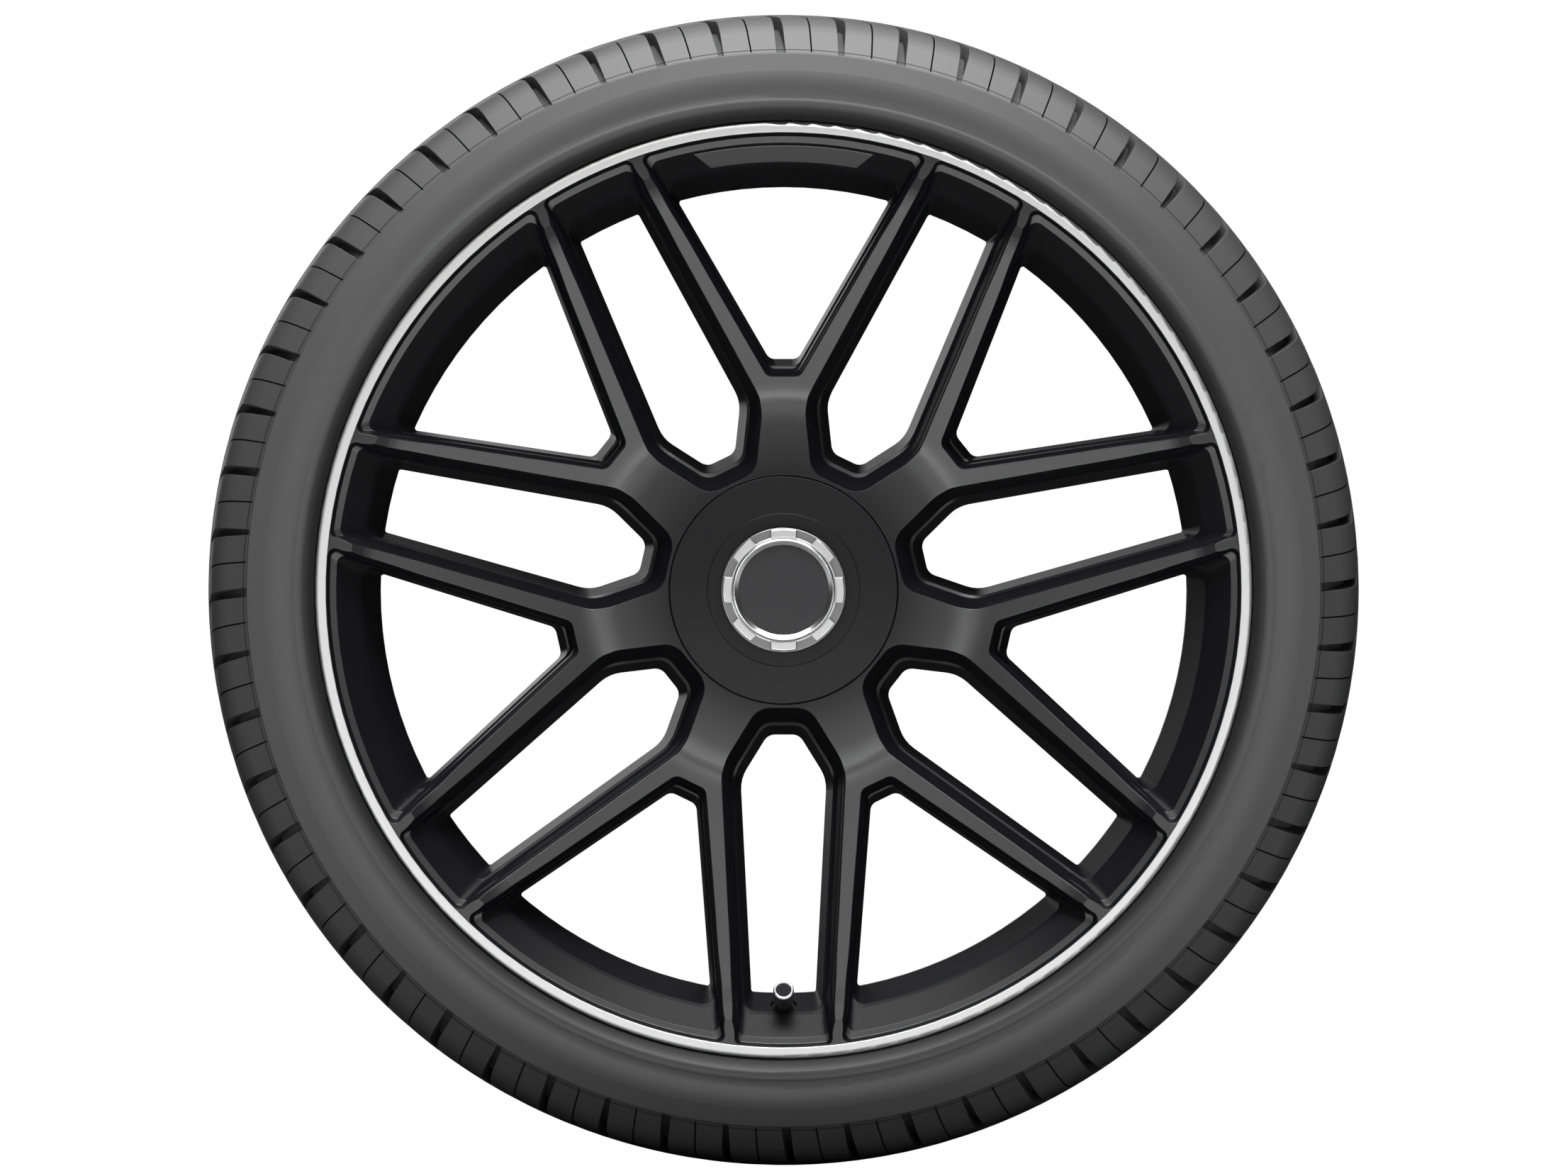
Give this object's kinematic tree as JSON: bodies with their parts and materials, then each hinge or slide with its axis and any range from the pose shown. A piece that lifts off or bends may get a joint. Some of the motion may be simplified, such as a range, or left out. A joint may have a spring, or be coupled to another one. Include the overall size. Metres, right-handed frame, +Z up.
{
  "type": "car wheel with tyre",
  "caption": "Black forged alloy car wheel with forked spokes, a bright rim edge, a turn-lock hub cover and a low-profile road tyre.",
  "frame": {"origin": "wheel centre: on the axle line at the rim's mid plane", "axes": "+Y along the axle towards the car, so the show face looks along -Y; +Z up, with the valve straight below the centre; +X to the right seen from the show face"},
  "size_m": [0.7044, 0.2896, 0.7042],
  "materials": {
    "black_paint": "satin",
    "tyre_rubber": "matte",
    "seal_rubber": "matte",
    "bright_metal": "satin",
    "chrome": "gloss",
    "gloss_black": "gloss",
    "spring_steel": "satin",
    "valve_brass": "satin",
    "sensor_plastic": "matte"
  },
  "bodies": {
    "wheel": {"forged_wheel": "black_paint", "tyre": "tyre_rubber", "hub_cover": "black_paint", "cover_gasket": "seal_rubber", "valve_body": "seal_rubber", "valve_stem": "valve_brass", "valve_core": "valve_brass", "sensor_case": "sensor_plastic", "sensor_screw": "spring_steel"},
    "cover_lock": {"crown_ring": "bright_metal", "bezel_ring": "chrome", "centre_disc": "gloss_black", "lock_spindle": "bright_metal", "spindle_clip": "spring_steel"},
    "cap": {"valve_cap": "bright_metal", "valve_cap_disc": "gloss_black"},
    "pin": {"valve_pin": "valve_brass"}
  },
  "joints": [
    {"name": "cover_lock_turn", "type": "hinge", "parent": "wheel", "child": "cover_lock", "pos_m": [0, 0, 0], "axis": [0, -1, 0], "range_deg": [0, 60]},
    {"name": "valve_cap_off", "type": "slide", "parent": "wheel", "child": "cap", "axis": [0, -0.9063, 0.4226], "range_m": [0, 0.016]},
    {"name": "valve_pin_press", "type": "slide", "parent": "wheel", "child": "pin", "axis": [0, 0.9063, -0.4226], "range_m": [0, 0.0012], "stiffness_N_per_m": 1500, "springref_m": -0.001}
  ]
}
